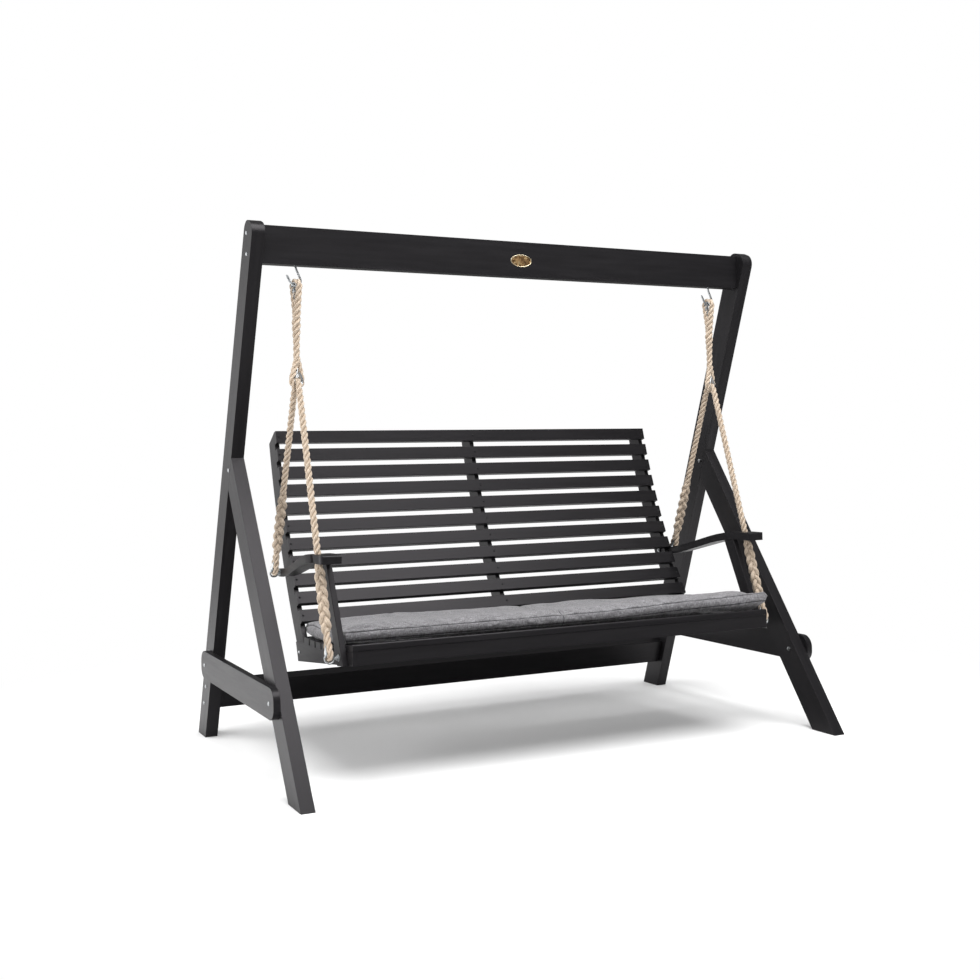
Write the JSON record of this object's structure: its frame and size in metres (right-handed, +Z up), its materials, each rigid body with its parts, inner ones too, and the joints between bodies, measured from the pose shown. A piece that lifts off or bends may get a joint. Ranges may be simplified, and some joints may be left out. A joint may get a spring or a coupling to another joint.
{
  "type": "porch swing",
  "caption": "Free-standing timber porch swing: an A-frame stand carries a slatted bench with arms and a seat cushion on spliced ropes.",
  "frame": {"origin": "on the floor, midway between the left and right posts and midway between the toes of the struts and the heels of the posts", "axes": "+X along the bench to the sitter's left (the right of a viewer in front), +Y towards the back of the bench, +Z up"},
  "size_m": [1.95, 1.157, 1.695],
  "materials": {
    "black_painted_timber": "satin",
    "galvanised_steel": "satin",
    "rope_fibre": "matte",
    "grey_cushion_cloth": "matte",
    "aged_brass": "satin"
  },
  "bodies": {
    "stand": {"badge": "aged_brass", "beam": "black_painted_timber", "left_beam_bolt_lower": "galvanised_steel", "left_beam_bolt_upper": "galvanised_steel", "left_brace_bolt_front": "galvanised_steel", "left_brace_bolt_rear": "galvanised_steel", "left_front_strut": "black_painted_timber", "left_hook": "galvanised_steel", "left_post": "black_painted_timber", "left_side_brace": "black_painted_timber", "left_strut_bolt": "galvanised_steel", "rear_stretcher": "black_painted_timber", "right_beam_bolt_lower": "galvanised_steel", "right_beam_bolt_upper": "galvanised_steel", "right_brace_bolt_front": "galvanised_steel", "right_brace_bolt_rear": "galvanised_steel", "right_front_strut": "black_painted_timber", "right_hook": "galvanised_steel", "right_post": "black_painted_timber", "right_side_brace": "black_painted_timber", "right_strut_bolt": "galvanised_steel"},
    "left_rope_top": {"left_upper_rope": "rope_fibre"},
    "right_rope_top": {"right_upper_rope": "rope_fibre"},
    "bench": {"back_slat_01": "black_painted_timber", "back_slat_02": "black_painted_timber", "back_slat_03": "black_painted_timber", "back_slat_04": "black_painted_timber", "back_slat_05": "black_painted_timber", "back_slat_06": "black_painted_timber", "back_slat_07": "black_painted_timber", "back_slat_08": "black_painted_timber", "back_slat_09": "black_painted_timber", "back_slat_10": "black_painted_timber", "back_slat_11": "black_painted_timber", "front_rail": "black_painted_timber", "left_arm_post": "black_painted_timber", "left_armrest": "black_painted_timber", "left_back_stile": "black_painted_timber", "left_front_eye_bolt": "galvanised_steel", "left_lower_rope": "rope_fibre", "left_rear_eye_bolt": "galvanised_steel", "left_side_rail": "black_painted_timber", "middle_back_stile": "black_painted_timber", "middle_bearer": "black_painted_timber", "right_arm_post": "black_painted_timber", "right_armrest": "black_painted_timber", "right_back_stile": "black_painted_timber", "right_front_eye_bolt": "galvanised_steel", "right_lower_rope": "rope_fibre", "right_rear_eye_bolt": "galvanised_steel", "right_side_rail": "black_painted_timber", "seat_cushion": "grey_cushion_cloth", "seat_nosing": "black_painted_timber", "seat_slat_1": "black_painted_timber", "seat_slat_2": "black_painted_timber", "seat_slat_3": "black_painted_timber", "seat_slat_4": "black_painted_timber", "seat_slat_5": "black_painted_timber", "seat_slat_6": "black_painted_timber", "seat_slat_7": "black_painted_timber"}
  },
  "joints": [
    {"name": "left_rope_swing", "type": "hinge", "parent": "stand", "child": "left_rope_top", "pos_m": [-0.792, -0.08345, 1.498], "axis": [1, 0, 0], "range_deg": [-20, 20]},
    {"name": "right_rope_swing", "type": "hinge", "parent": "stand", "child": "right_rope_top", "pos_m": [0.792, -0.08345, 1.498], "axis": [1, 0, 0], "range_deg": [-20, 20]},
    {"name": "bench_tilt", "type": "hinge", "parent": "left_rope_top", "child": "bench", "pos_m": [-0.792, -0.08345, 1.18], "axis": [1, 0, 0], "range_deg": [-10, 10]}
  ],
  "couplings": [
    {"joint": "right_rope_swing", "follows": "left_rope_swing", "ratio": 1}
  ]
}
